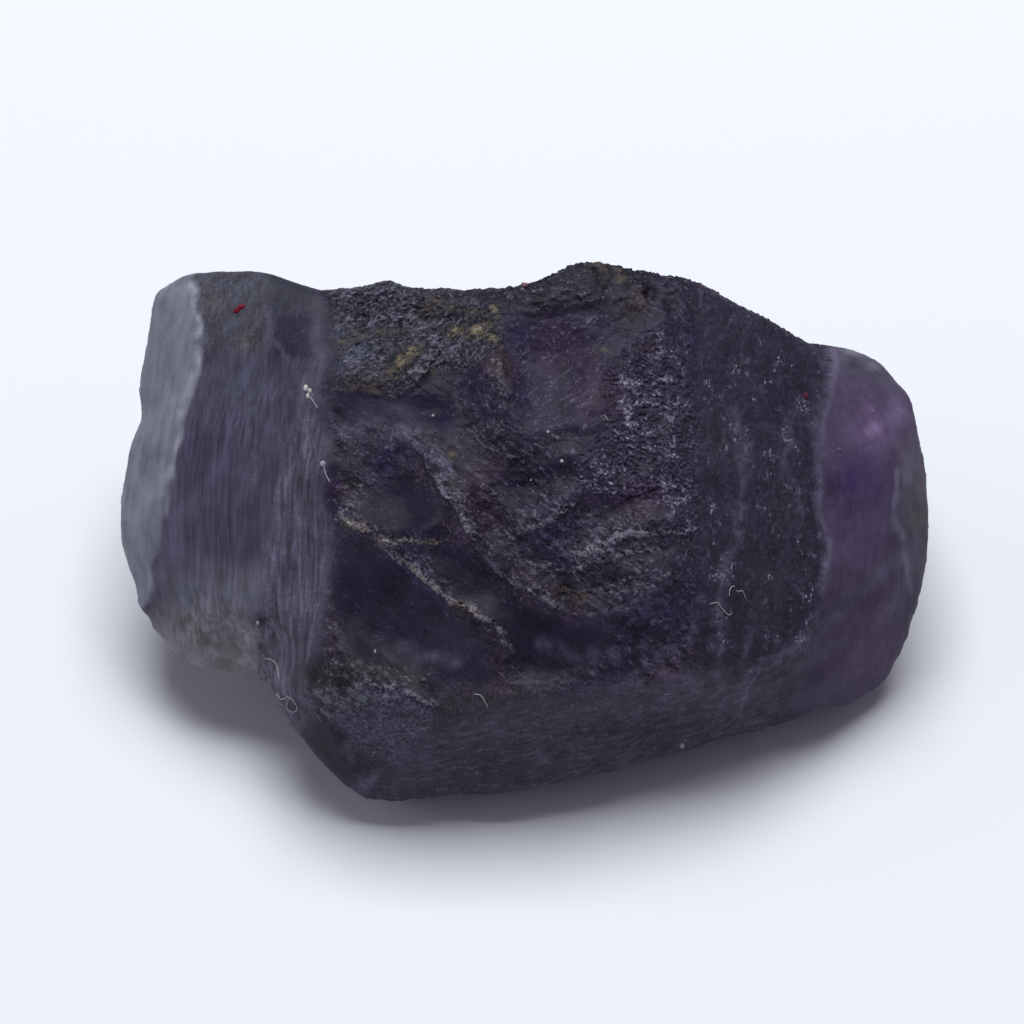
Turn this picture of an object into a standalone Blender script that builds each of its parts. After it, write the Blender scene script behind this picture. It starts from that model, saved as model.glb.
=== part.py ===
"""A rough piece of purple fluorite, one solid of intergrown blocks, lying on its flat broken base.

The stone is described as it is seen from its picture side, by an eye that looks down on it at VIEW_TILT.
A corner has three measures in millimetres: across (to the right), up (in the plane of the view) and near
(towards the eye). Hidden corners, at the back and below, are plain x, y, z millimetres. All of them are
measured from the stone's toe, which overhangs the table by TOE_LIFT.
"""

from math import cos, exp, radians, sin

import bmesh
import bpy
from mathutils import Vector, noise

# Driving dimensions
MM = 0.001
LENGTH = 27.0
VIEW_TILT = radians(50)
TOWARDS_EYE = Vector((0, -cos(VIEW_TILT), sin(VIEW_TILT)))
TOE_LIFT = 1.2
BASE_DEPTH = -TOE_LIFT - 0.5
SCULPT_GRAIN = 0.28
EDGE_WEAR, WEAR_LOSS = 2, 0.08
TRIANGLES = 7600

# Corners of the heart of the stone that show, from its toe up to its crest
HEART_SEEN = [
    (-4.2, -0.3, 0.1), (-1.8, -0.2, 0.3), (-0.4, 0.0, 0.4), (1.6, 0.6, 0.4), (3.4, 0.95, 0.1),
    (5.8, 1.4, -0.5), (8.0, 2.1, -1.5), (9.6, 2.5, -2.2),
    (-2.8, 3.1, 3.4), (1.2, 3.3, 3.5), (6.5, 4.2, 2.7), (9.3, 4.6, 0.9),
    (-6.5, 5.3, 2.4), (-6.5, 10.0, 2.5), (-6.6, 13.8, 1.6), (-7.0, 16.5, -0.1),
    (-2.5, 8.0, 3.8), (1.9, 8.0, 4.1), (-2.5, 12.5, 3.1), (2.0, 12.8, 3.3),
    (5.5, 6.6, 3.5), (5.6, 10.3, 3.0), (5.2, 14.0, 2.2),
    (2.7, 17.55, 1.4), (0.9, 17.4, 1.2), (5.2, 17.05, 0.8), (8.2, 15.5, -0.2), (9.9, 14.6, -1.1),
    (10.1, 11.0, 0.1), (10.1, 6.6, 0.6),
]
HEART_HIDDEN = [
    (-7.5, 15.4, 6.8), (2.6, 15.4, 7.6), (8.8, 15.0, 5.4),
    (-8.0, 15.8, 2.2), (8.5, 15.0, 2.0), (2.0, 16.4, 4.2),
    (-7.0, 14.0, BASE_DEPTH), (7.0, 13.2, BASE_DEPTH), (8.0, 5.5, BASE_DEPTH),
    (-7.2, 5.0, BASE_DEPTH), (-3.6, 2.3, BASE_DEPTH), (2.0, 3.0, BASE_DEPTH),
]

# The paler block on the left, which hangs clear of the table
LEFT_SEEN = [
    (-11.3, 17.3, -2.6), (-12.4, 16.7, -3.0), (-12.95, 13.0, -3.0), (-13.6, 9.0, -2.2),
    (-13.4, 7.6, -2.7), (-12.8, 5.7, -2.1), (-11.4, 4.1, -1.5), (-9.3, 3.9, -1.0), (-8.35, 3.5, -0.3),
    (-11.0, 16.3, -1.4), (-10.9, 14.1, -0.8), (-11.5, 11.8, -0.5), (-12.0, 9.6, -0.5), (-12.4, 8.0, -0.8),
    (-8.8, 17.3, -0.9), (-7.9, 14.0, 0.4), (-7.9, 10.0, 1.3), (-8.1, 6.0, 1.3), (-10.2, 6.2, 0.4),
    (-6.9, 16.6, 0.0), (-6.4, 10.0, 2.5), (-6.3, 6.0, 2.4), (-6.6, 13.8, 1.6),
]
LEFT_HIDDEN = [
    (-11.8, 15.8, 5.0), (-11.6, 13.5, 3.0), (-7.0, 15.4, 6.8), (-6.5, 15.0, 2.5), (-6.0, 6.0, 1.6),
    (-5.0, 8.0, 5.0),
]

# The clearer block on the right end, set back behind the heart's edge
RIGHT_SEEN = [
    (10.9, 14.8, -3.8), (12.0, 14.3, -3.7), (13.1, 13.1, -3.3), (13.5, 10.6, -2.5), (13.6, 8.6, -2.0),
    (13.4, 6.7, -2.3), (12.9, 4.9, -2.8), (12.1, 3.4, -3.4), (10.9, 2.6, -2.6),
    (10.3, 14.0, -1.8), (10.0, 11.0, 0.25), (12.5, 11.0, -1.0), (12.2, 6.6, -0.3), (10.0, 6.6, 0.75),
    (10.0, 3.6, -0.4),
]
RIGHT_HIDDEN = [
    (12.4, 14.8, 3.6), (11.8, 12.6, 1.4), (8.0, 15.0, 5.4), (8.0, 13.5, 1.4), (8.0, 6.0, 1.0),
    (8.4, 2.6, 1.7),
]

# The snout at the lower left, which carries the stone's toe
SNOUT_SEEN = [
    (-6.8, 3.6, 2.9), (-4.6, 3.3, 3.5), (-3.2, 2.9, 3.7), (-3.2, 1.5, 2.2), (-1.4, 1.5, 1.9),
    (-5.3, -0.3, 0.3), (-4.1, -0.4, 0.4), (-6.4, 0.7, 0.5),
    (-8.5, 3.5, 0.6), (-7.65, 2.15, 0.8), (-8.1, 5.4, 1.3), (-7.9, 7.0, 1.5), (-6.5, 6.5, 2.5),
]
SNOUT_HIDDEN = [
    (-5.0, 7.0, 1.0), (-7.6, 6.5, 1.4), (-2.0, 4.0, 1.0), (-5.0, 4.0, BASE_DEPTH), (-3.6, 2.3, BASE_DEPTH),
    (-5.5, 6.5, 5.0),
]

# Round-bottomed chips out of the crest and flanks: seen position of the ball's middle, and its radius
CHIPS = {
    "crest_chip": ((-1.6, 20.75, -0.8), 5.0),
    "crest_nick": ((-5.7, 18.85, -0.6), 2.3),
    "back_chip": ((-4.0, 20.0, -12.5), 5.0),
    "back_low_chip": ((6.0, 12.0, -14.0), 4.6),
    "shoulder_chip": ((10.9, 18.1, -1.0), 2.6),
}

# Shell-shaped fracture bowls of the rough front, which meet in sharp crests: across, up, and how deep
FRONT_BOWLS = [
    (1.2, 14.1, 0.45), (-3.0, 13.1, 0.40), (-4.2, 9.8, 0.34), (-3.9, 6.0, 0.50), (-1.8, 7.4, 0.36),
    (0.5, 4.9, 0.36), (2.6, 9.1, 0.30), (3.9, 5.2, 0.36), (0.9, 10.2, 0.26), (-1.5, 12.0, 0.24),
    (4.5, 13.2, 0.14), (-5.3, 12.0, 0.20), (-5.2, 15.2, 0.18), (-2.6, 15.3, 0.22), (3.3, 16.4, 0.14),
]
BOWL_RADIUS, BOWL_RIM = 4.4, 0.12
BOWL_WARP, WARP_SCALE = 0.55, 1.4

# Crests of the front that stand out between the bowls, each a line of across, up places
CRESTS = {
    "left_shelf": [(-5.9, 9.1), (-4.6, 8.75), (-3.0, 8.55)],
    "left_slant": [(-4.6, 8.6), (-3.6, 7.5), (-2.4, 6.6), (-1.3, 5.8), (-0.6, 4.95)],
    "long_slant": [
        (-2.6, 10.2), (-1.8, 8.85), (-1.05, 7.85), (-0.15, 7.2), (0.75, 6.6), (1.4, 6.2), (2.75, 6.2),
        (4.3, 7.1),
    ],
    "fork": [(-0.25, 8.55), (0.5, 9.0), (1.5, 9.75)],
    "right_wave": [(2.1, 7.7), (3.2, 8.4), (3.9, 8.85), (5.2, 8.95)],
    "grain_rim": [(1.2, 11.1), (2.4, 10.65), (3.2, 10.2), (3.9, 10.3)],
    "bowl_side": [(-0.7, 14.0), (-0.6, 12.9), (-0.8, 12.0)],
    "crust_ledge": [(-6.1, 13.55), (-4.3, 13.45), (-3.5, 14.0)],
}
CREST_RISE, CREST_REACH, CREST_WANDER = 0.38, 1.1, 0.3

# Single dents and swellings anywhere on the stone: seen position, reach, and height (below zero is a dent)
DENTS = [
    ((-4.4, 17.2, 0.4), 0.9, 0.18),
    ((3.8, 17.4, 1.2), 0.45, -0.30),
    ((4.7, 17.2, 1.1), 0.45, -0.28),
    ((-12.8, 12.4, -2.8), 0.8, -0.30),
    ((-13.0, 7.0, -1.6), 0.7, -0.22),
    ((-7.8, 4.6, 1.2), 1.0, -0.30),
    ((10.3, 9.0, 0.2), 0.8, -0.10),
    ((12.6, 5.9, -1.2), 0.8, -0.15),
    ((-1.4, 1.4, 1.8), 0.9, -0.12),
    ((4.6, 2.4, 1.6), 1.6, -0.20),
]

# Undulation of the whole skin: wavelength and height, and the share of it on the smooth cleaved ends
SWELL, RIPPLE, GRIT = (4.2, 0.20), (1.5, 0.13), (0.65, 0.06)
QUIET_SHARE = 0.5

# Where the broken front begins and is fully broken: along across, up, and in how squarely it faces the eye
FRONT_LEFT, FRONT_RIGHT, FRONT_FOOT, FRONT_FACING = (-6.6, -5.8), (4.6, 5.6), (3.2, 4.2), (0.35, 0.75)


def from_view(across, up, near):
    """A corner given as the eye sees it, as x, y, z millimetres from the toe."""
    return Vector((
        across,
        up * sin(VIEW_TILT) - near * cos(VIEW_TILT),
        up * cos(VIEW_TILT) + near * sin(VIEW_TILT),
    ))


def seen_in_view(point):
    """The across and up measures of a point of the stone."""
    return point.x, point.y * sin(VIEW_TILT) + point.z * cos(VIEW_TILT)


def clear_scene():
    for obj in list(bpy.data.objects):
        bpy.data.objects.remove(obj)


def block(name, seen, hidden):
    """A block with flat faces: the tightest skin round its corners."""
    bm = bmesh.new()
    for corner in [from_view(*c) for c in seen] + [Vector(c) for c in hidden]:
        bm.verts.new(corner * MM)
    hull = bmesh.ops.convex_hull(bm, input=bm.verts)
    left_over = hull["geom_interior"] + hull["geom_unused"]
    loose = {g for g in left_over if isinstance(g, bmesh.types.BMVert)}
    bmesh.ops.delete(bm, geom=list(loose), context="VERTS")
    bmesh.ops.recalc_face_normals(bm, faces=bm.faces)
    mesh = bpy.data.meshes.new(name)
    bm.to_mesh(mesh)
    bm.free()
    obj = bpy.data.objects.new(name, mesh)
    bpy.context.scene.collection.objects.link(obj)
    return obj


def bake_modifiers(obj):
    """Keeps the shape that the object's modifiers give, and takes them off."""
    bpy.context.view_layer.update()
    graph = bpy.context.evaluated_depsgraph_get()
    mesh = bpy.data.meshes.new_from_object(obj.evaluated_get(graph))
    obj.modifiers.clear()
    obj.data = mesh


def grow_together(stone, *others):
    """Joins the blocks in one solid."""
    for other in others:
        union = stone.modifiers.new("join_" + other.name, "BOOLEAN")
        union.operation = "UNION"
        union.object = other
        bake_modifiers(stone)
        bpy.data.objects.remove(other)


def chip_off(stone, name, place, radius):
    """Takes a round-bottomed chip out of the solid."""
    bm = bmesh.new()
    bmesh.ops.create_icosphere(bm, subdivisions=4, radius=radius * MM)
    mesh = bpy.data.meshes.new(name)
    bm.to_mesh(mesh)
    bm.free()
    ball = bpy.data.objects.new(name, mesh)
    ball.location = from_view(*place) * MM
    bpy.context.scene.collection.objects.link(ball)
    cut = stone.modifiers.new(name, "BOOLEAN")
    cut.operation = "DIFFERENCE"
    cut.object = ball
    bake_modifiers(stone)
    bpy.data.objects.remove(ball)


def make_sculptable(stone):
    """Lays an even skin of small faces over the solid."""
    remesh = stone.modifiers.new("skin", "REMESH")
    remesh.mode = "VOXEL"
    remesh.voxel_size = SCULPT_GRAIN * MM
    worn = stone.modifiers.new("worn_edges", "SMOOTH")
    worn.factor = 0.5
    worn.iterations = EDGE_WEAR
    bake_modifiers(stone)


def ramp(value, low, high):
    """0 below low, 1 above high, and a smooth slope between them."""
    t = max(0.0, min(1.0, (value - low) / (high - low)))
    return t * t * (3 - 2 * t)


def roughness_of(across):
    """1 on the broken front of the stone and less on its smooth cleaved ends."""
    front = ramp(across, *FRONT_LEFT) * (1 - ramp(across, *FRONT_RIGHT))
    return QUIET_SHARE + (1 - QUIET_SHARE) * front


def bowl_relief(across, up, point):
    """Height of the shell-shaped fractures at a place of the front: the lowest bowl wins."""
    across += BOWL_WARP * noise.noise(point / WARP_SCALE)
    up += BOWL_WARP * noise.noise(point / WARP_SCALE + Vector((9, 0, 0)))
    heights = [
        ((across - a) ** 2 + (up - u) ** 2) / (2 * BOWL_RADIUS) - depth for a, u, depth in FRONT_BOWLS
    ]
    return min(BOWL_RIM, min(heights))


def distance_to_line(place, line):
    """How far a place of the view is from a line of places."""
    nearest = 99.0
    for start, end in zip(line, line[1:]):
        start, end = Vector(start), Vector(end)
        along = (place - start).dot(end - start) / (end - start).length_squared
        nearest = min(nearest, (place - start.lerp(end, max(0.0, min(1.0, along)))).length)
    return nearest


def crest_relief(across, up, point):
    """Height of the sharp crests at a place of the front."""
    wander = Vector((noise.noise(point), noise.noise(point + Vector((5, 0, 0)))))
    place = Vector((across, up)) + CREST_WANDER * wander
    distance = min(distance_to_line(place, line) for line in CRESTS.values())
    return CREST_RISE * max(0.0, 1 - distance / CREST_REACH) ** 2


def relief(point, normal):
    """How far the skin stands out at a point, in millimetres."""
    across, up = seen_in_view(point)
    height = WEAR_LOSS
    for (wavelength, rise), offset in zip((SWELL, RIPPLE, GRIT), (0, 17, 31)):
        height += rise * noise.noise(point / wavelength + Vector((offset, 0, 0)))
    height = WEAR_LOSS + (height - WEAR_LOSS) * roughness_of(across)
    front = ramp(across, *FRONT_LEFT) * (1 - ramp(across, *FRONT_RIGHT)) * ramp(up, *FRONT_FOOT)
    front *= ramp(normal.dot(TOWARDS_EYE), *FRONT_FACING)
    if front > 0:
        height += front * (bowl_relief(across, up, point) + crest_relief(across, up, point))
    for place, reach, rise in DENTS:
        height += rise * exp(-((point - from_view(*place)).length / reach) ** 2)
    return height


def sculpt(stone):
    """Moves each point of the skin along its normal by the relief there."""
    mesh = stone.data
    moves = [v.normal * relief(v.co / MM, v.normal) * MM for v in mesh.vertices]
    for vertex, move in zip(mesh.vertices, moves):
        vertex.co += move
    mesh.update()


def simplify(stone):
    """Fewer, larger faces where the skin is flat."""
    triangulate = stone.modifiers.new("triangulate", "TRIANGULATE")
    triangulate.quad_method = "BEAUTY"
    bake_modifiers(stone)
    decimate = stone.modifiers.new("simplify", "DECIMATE")
    decimate.ratio = TRIANGLES / len(stone.data.polygons)
    bake_modifiers(stone)


def break_base_flat(stone):
    """Cuts the underside off flat, as a cleavage face, and closes the cut."""
    bm = bmesh.new()
    bm.from_mesh(stone.data)
    everything = list(bm.verts) + list(bm.edges) + list(bm.faces)
    cut = bmesh.ops.bisect_plane(
        bm, geom=everything, dist=1e-7, plane_co=(0, 0, -TOE_LIFT * MM), plane_no=(0, 0, -1), clear_outer=True
    )
    rim = [g for g in cut["geom_cut"] if isinstance(g, bmesh.types.BMEdge)]
    base = bmesh.ops.contextual_create(bm, geom=rim)["faces"]
    bmesh.ops.triangulate(bm, faces=base)
    bmesh.ops.recalc_face_normals(bm, faces=bm.faces)
    bm.to_mesh(stone.data)
    bm.free()


def set_true_size(stone):
    """Centres the stone over the origin, stands it on its base and scales it to its real length."""
    corners = [Vector(c) for c in stone.bound_box]
    low = Vector(map(min, *corners))
    high = Vector(map(max, *corners))
    middle = (low + high) / 2
    scale = LENGTH * MM / (high.x - low.x)
    for vertex in stone.data.vertices:
        vertex.co = (vertex.co - Vector((middle.x, middle.y, low.z))) * scale
    stone.data.update()


def fluorite_material():
    """Deep violet, near black where it is thick, with a frosted skin."""
    material = bpy.data.materials.new("purple_fluorite")
    material.use_nodes = True
    shader = material.node_tree.nodes["Principled BSDF"]
    shader.inputs["Base Color"].default_value = (0.045, 0.035, 0.075, 1)
    shader.inputs["Roughness"].default_value = 0.5
    shader.inputs["Metallic"].default_value = 0.0
    shader.inputs["IOR"].default_value = 1.434
    return material


def main():
    clear_scene()
    stone = block("fluorite", HEART_SEEN, HEART_HIDDEN)
    grow_together(
        stone,
        block("left_block", LEFT_SEEN, LEFT_HIDDEN),
        block("right_block", RIGHT_SEEN, RIGHT_HIDDEN),
        block("snout", SNOUT_SEEN, SNOUT_HIDDEN),
    )
    for name, (place, radius) in CHIPS.items():
        chip_off(stone, name, place, radius)
    make_sculptable(stone)
    sculpt(stone)
    simplify(stone)
    break_base_flat(stone)
    set_true_size(stone)
    stone.data.materials.clear()
    stone.data.materials.append(fluorite_material())


main()
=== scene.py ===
# %% [markdown]
# Rough fluorite, a lesson in making a broken mineral look real
#
# The real thing is one natural stone, about 27 mm long. It is deep violet and nearly black where it is
# thick. Its left end is a smooth, pale cleavage block. Its middle is shell-shaped fractures with sharp,
# frosted crests, a granular patch and a little ochre crust. Its right end is clearer and glows purple.
# The frame gives the stone's true form and size. Each cell below adds one layer of finish to it.

# %% Load the frame and measure it
import math
from types import SimpleNamespace

import bpy
import numpy as np
from mathutils import Matrix, Vector, noise


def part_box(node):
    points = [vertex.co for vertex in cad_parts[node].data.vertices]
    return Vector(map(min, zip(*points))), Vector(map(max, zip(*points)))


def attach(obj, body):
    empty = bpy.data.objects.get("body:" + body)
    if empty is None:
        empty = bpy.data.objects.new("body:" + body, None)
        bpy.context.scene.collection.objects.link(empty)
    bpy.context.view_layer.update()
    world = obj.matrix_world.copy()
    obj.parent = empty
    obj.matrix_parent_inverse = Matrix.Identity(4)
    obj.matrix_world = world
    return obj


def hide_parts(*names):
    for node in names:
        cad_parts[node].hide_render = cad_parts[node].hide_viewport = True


MM = 0.001
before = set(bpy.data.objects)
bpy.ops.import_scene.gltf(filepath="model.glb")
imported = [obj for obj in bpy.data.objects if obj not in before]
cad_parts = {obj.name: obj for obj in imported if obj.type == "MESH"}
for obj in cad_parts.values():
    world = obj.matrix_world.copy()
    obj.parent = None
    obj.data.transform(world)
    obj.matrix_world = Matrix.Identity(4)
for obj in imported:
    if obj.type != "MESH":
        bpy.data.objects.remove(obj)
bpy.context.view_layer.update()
stone_low, stone_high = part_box("fluorite")
stone_length = stone_high.x - stone_low.x
print("the stone is", round(stone_length / MM, 2), "mm long and", round(stone_high.z / MM, 2), "mm high")

# %% [markdown]
# The camera comes first, because every mark on the stone was read from a picture 1024 pixels on a side. It
# looks down at 50 degrees through a long lens, which keeps the stone's ends from shrinking. The same few
# numbers then turn any pixel into a place on the stone.

# %% Camera
VIEW_TILT = math.radians(50)
LENS, SENSOR, PICTURE_SIDE = 200.0, 36.0, 1024
STONE_PIXELS, OUTLINE_FIT = 807, 0.985
PIXEL = stone_length / STONE_PIXELS
CAMERA_DISTANCE = OUTLINE_FIT * PIXEL * PICTURE_SIDE * LENS / SENSOR
PICTURE_MIDDLE = (-12.5, 286.0)
STONE_SETBACK, TOE_LIFT = 8.4 * MM, 1.2 * MM

RIGHTWARD = Vector((1, 0, 0))
UPWARD = Vector((0, math.sin(VIEW_TILT), math.cos(VIEW_TILT)))
TOWARDS_EYE = Vector((0, -math.cos(VIEW_TILT), math.sin(VIEW_TILT)))
target = RIGHTWARD * PICTURE_MIDDLE[0] * PIXEL + UPWARD * PICTURE_MIDDLE[1] * PIXEL
target += Vector((0, -STONE_SETBACK, TOE_LIFT))

bpy.ops.object.camera_add(
    location=target + TOWARDS_EYE * CAMERA_DISTANCE, rotation=(math.pi / 2 - VIEW_TILT, 0, 0)
)
camera = bpy.context.object
camera.name = "picture_camera"
camera.data.lens, camera.data.sensor_width = LENS, SENSOR
camera.data.clip_start, camera.data.clip_end = 0.01, 20
bpy.context.scene.camera = camera
eye = np.array(camera.location)


def in_picture(points):
    """Pixel columns and rows, in the 1024 pixel picture, of points given in metres."""
    offset = points - eye
    away = -offset @ np.array(TOWARDS_EYE)
    enlarge = LENS / SENSOR * PICTURE_SIDE / away
    half = PICTURE_SIDE / 2
    return half + offset @ np.array(RIGHTWARD) * enlarge, half - offset @ np.array(UPWARD) * enlarge


def ray_through(column, row):
    """The direction from the eye through a pixel."""
    half, focus = PICTURE_SIDE / 2, LENS / SENSOR * PICTURE_SIDE
    return (RIGHTWARD * (column - half) + UPWARD * (half - row) - TOWARDS_EYE * focus).normalized()


print("a pixel is", round(PIXEL / MM, 4), "mm on the stone")

# %% [markdown]
# A few short functions keep the sky and the stone's shader readable. Each adds a node to a tree of nodes
# and hands on what it gives.

# %% Shader helpers
def add(tree, kind, inputs=None, **settings):
    """Adds a shader node, sets it, and fills its inputs with values or links."""
    made = tree.nodes.new("ShaderNode" + kind)
    for key, value in settings.items():
        setattr(made, key, value)
    for key, value in (inputs or {}).items():
        if isinstance(value, bpy.types.NodeSocket):
            tree.links.new(value, made.inputs[key])
        else:
            made.inputs[key].default_value = value
    return made


def maths(tree, operation, *values):
    """One step of arithmetic."""
    return add(tree, "Math", dict(enumerate(values)), operation=operation).outputs[0]


def stretch(tree, value, low, high, to_low=0.0, to_high=1.0):
    """Maps a value from one range to another."""
    ranges = {"From Min": low, "From Max": high, "To Min": to_low, "To Max": to_high}
    return add(tree, "MapRange", {"Value": value, **ranges}).outputs[0]


def mix_colour(tree, factor, under, over, blend="MIX"):
    """One colour coat over another."""
    inputs = {0: factor, 6: under, 7: over}
    return add(tree, "Mix", inputs, data_type="RGBA", blend_type=blend).outputs[2]


def toned(tree, share, colour, tone):
    """A colour made darker or lighter by a tone, as far as its share says."""
    return mix_colour(tree, share, colour, mix_colour(tree, 1.0, colour, tone, "MULTIPLY"))


def attribute(tree, name, output="Fac"):
    """What the mesh holds under this name."""
    return add(tree, "Attribute", attribute_name=name).outputs[output]


def use_group(tree, group, inputs):
    """A group in the tree, with its inputs filled. Gives its outputs."""
    return add(tree, "Group", inputs, node_tree=group).outputs


def new_group(name, inputs, outputs):
    """A shader node group with these sockets, and its input and output nodes."""
    group = bpy.data.node_groups.new(name, "ShaderNodeTree")
    for socket, (kind, value) in inputs.items():
        made = group.interface.new_socket(name=socket, in_out="INPUT", socket_type=kind)
        if value is not None:
            made.default_value = value
    for socket, kind in outputs.items():
        group.interface.new_socket(name=socket, in_out="OUTPUT", socket_type=kind)
    return group, group.nodes.new("NodeGroupInput").outputs, group.nodes.new("NodeGroupOutput").inputs


print("helpers:", [f.__name__ for f in (maths, stretch, mix_colour, toned, attribute, use_group)])

# %% [markdown]
# One broad light hangs above the stone and a little behind it. It rakes over the crests and leaves a dark,
# soft shadow under the front. The floor is plain, pale and matt. The sky is bright on the left, as beside a
# window, dimmer on the right and a dim violet between them, which gives the front's shadow its tint.

# %% Floor, world and lights
FLOOR_COLOUR, FLOOR_SIDE, FLOOR_DROP = (0.76, 0.79, 0.83, 1), 6, 0.02 * MM
SKY_DIM = (0.105, 0.082, 0.125, 1)
SKY_STOPS = [(0.0, (0.92, 0.96, 1.05, 1)), (0.3, SKY_DIM), (0.7, SKY_DIM), (1.0, (0.37, 0.38, 0.42, 1))]
LIGHT_PLACE, LIGHT_AIM, LIGHT_SIZE = (0.005, 0.125, 0.40), (0, 0, 0.005), 0.27
LIGHT_POWER, LIGHT_COLOUR = 2.0, (0.97, 0.985, 1.0)

paper = bpy.data.materials.new("pale_paper")
paper.use_nodes = True
paper_shader = paper.node_tree.nodes["Principled BSDF"]
paper_shader.inputs["Base Color"].default_value = FLOOR_COLOUR
paper_shader.inputs["Roughness"].default_value = 0.9
bpy.ops.mesh.primitive_plane_add(size=FLOOR_SIDE, location=(0, 0, -FLOOR_DROP))
floor = bpy.context.object
floor.name = "floor"
floor.data.materials.append(paper)

world = bpy.data.worlds.new("soft_tent")
world.use_nodes = True
sky = world.node_tree
direction = add(sky, "TexCoord").outputs["Generated"]
across = add(sky, "SeparateXYZ", {0: direction}).outputs["X"]
brightness = add(sky, "ValToRGB", {0: stretch(sky, across, -1.0, 1.0)})
sky.links.new(brightness.outputs[0], sky.nodes["Background"].inputs["Color"])
brightness.color_ramp.interpolation = "EASE"
stops = brightness.color_ramp.elements
for stop_place, _ in SKY_STOPS[1:-1]:
    stops.new(stop_place)
for stop, (_, colour) in zip(stops, SKY_STOPS):
    stop.color = colour
bpy.context.scene.world = world

turn = (Vector(LIGHT_AIM) - Vector(LIGHT_PLACE)).to_track_quat("-Z", "Y").to_euler()
bpy.ops.object.light_add(type="AREA", location=LIGHT_PLACE, rotation=turn)
light = bpy.context.object
light.name = "top_light"
light.data.size, light.data.energy, light.data.color = LIGHT_SIZE, LIGHT_POWER, LIGHT_COLOUR
bpy.context.scene.view_settings.view_transform = "Standard"

# %% [markdown]
# The frame's stone has the right form but few faces. A copy of it becomes the finished piece. Its triangles
# are joined up, and a voxel remesh lays an even skin of small quads, which relief can move. A little
# smoothing takes off the old facets. The far side's skin is thinned out, which leaves more faces for the
# broken front.

# %% Stone skin
SKIN_GRAIN = 0.105 * MM
FACET_SMOOTHING = 4
FAR_SIDE_SHARE = 0.56


def pick(obj):
    """Leaves this object alone selected and active."""
    bpy.ops.object.select_all(action="DESELECT")
    obj.select_set(True)
    bpy.context.view_layer.objects.active = obj


def shape_with(obj, kind, name, **settings):
    """Adds a modifier, sets it and applies it."""
    pick(obj)
    modifier = obj.modifiers.new(name, kind)
    for key, value in settings.items():
        setattr(modifier, key, value)
    bpy.ops.object.modifier_apply(modifier=modifier.name)


def skin_arrays():
    """Places and normals of the stone's vertices as arrays."""
    count = len(stone.data.vertices)
    places, normals = np.empty(count * 3), np.empty(count * 3)
    stone.data.vertices.foreach_get("co", places)
    stone.data.vertex_normals.foreach_get("vector", normals)
    return places.reshape(-1, 3), normals.reshape(-1, 3)


def ramp(value, low, high):
    """0 below low, 1 above high, and a smooth slope between them."""
    t = np.clip((value - low) / (high - low), 0, 1)
    return t * t * (3 - 2 * t)


def hold_to(name, weights):
    """A vertex group of the stone with these weights."""
    group = stone.vertex_groups.new(name=name)
    for index in np.nonzero(weights > 0.02)[0]:
        group.add([int(index)], float(weights[index]), "REPLACE")
    return group.name


cad_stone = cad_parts["fluorite"]
stone = bpy.data.objects.new("rough_fluorite", cad_stone.data.copy())
bpy.context.scene.collection.objects.link(stone)
pick(stone)
bpy.ops.object.mode_set(mode="EDIT")
bpy.ops.mesh.select_all(action="SELECT")
bpy.ops.mesh.remove_doubles(threshold=0.001 * MM)
bpy.ops.object.mode_set(mode="OBJECT")
shape_with(stone, "REMESH", "even_skin", mode="VOXEL", voxel_size=SKIN_GRAIN)
shape_with(stone, "SMOOTH", "worn_facets", factor=0.5, iterations=FACET_SMOOTHING)
far_side = hold_to("far_side", ramp(-(skin_arrays()[1] @ np.array(TOWARDS_EYE)), 0.05, 0.30))
shape_with(stone, "DECIMATE", "thin_far_side", ratio=FAR_SIDE_SHARE, vertex_group=far_side)
print("skin:", len(stone.data.vertices), "vertices,", len(stone.data.polygons), "faces")

# %% [markdown]
# Each mark is named by the pixels it crosses in the picture. The helpers below turn such lines and patches
# into a weight on every vertex: 1 on the mark, 0 away from it. Noise makes every line and border unsteady.

# %% Marks on the skin
def noise_field(scale_mm, offset=0.0, octaves=1):
    """Noise from about -1 to 1 on every vertex, of this size, with finer octaves where asked."""
    shift = Vector((offset, 0, 0))
    return np.array([noise.fractal(Vector(p) / (scale_mm * MM) + shift, 1.0, 2.0, octaves) for p in places])


places, normals = skin_arrays()
columns, rows = in_picture(places)
faces_eye = ramp(normals @ np.array(TOWARDS_EYE), -0.30, 0.05)
wander_a, wander_b = noise_field(0.9), noise_field(0.9, 40.0)
broad_noise, mid_noise = noise_field(2.2, 80.0), noise_field(0.8, 60.0, 2)
fine_noise, speckle = noise_field(0.35, 120.0, 2), noise_field(0.22, 150.0)
print("noise from", round(broad_noise.min(), 2), "to", round(broad_noise.max(), 2))


def line_marks(line, wander=3.0):
    """Pixels from each vertex to a line of pixels, and 1 or -1 for the side above or below the line."""
    spots = np.stack([columns + wander * wander_a, rows + wander * wander_b], axis=1)
    nearest, above = np.full(len(spots), 1e6), np.ones(len(spots))
    for start, end in zip(line, line[1:]):
        start, end = np.array(start, float), np.array(end, float)
        run, offset = end - start, spots - start
        along = np.clip(offset @ run / (run @ run), 0, 1)
        distance = np.linalg.norm(offset - along[:, None] * run, axis=1)
        closer = distance < nearest
        nearest = np.where(closer, distance, nearest)
        above = np.where(closer, np.sign(run[1] * offset[:, 0] - run[0] * offset[:, 1]), above)
    return nearest, above


def on_line(line, width, wander=3.0):
    """1 on the line, falling to 0 at width pixels from it."""
    return faces_eye * np.clip(1 - line_marks(line, wander)[0] / width, 0, 1)


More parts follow.
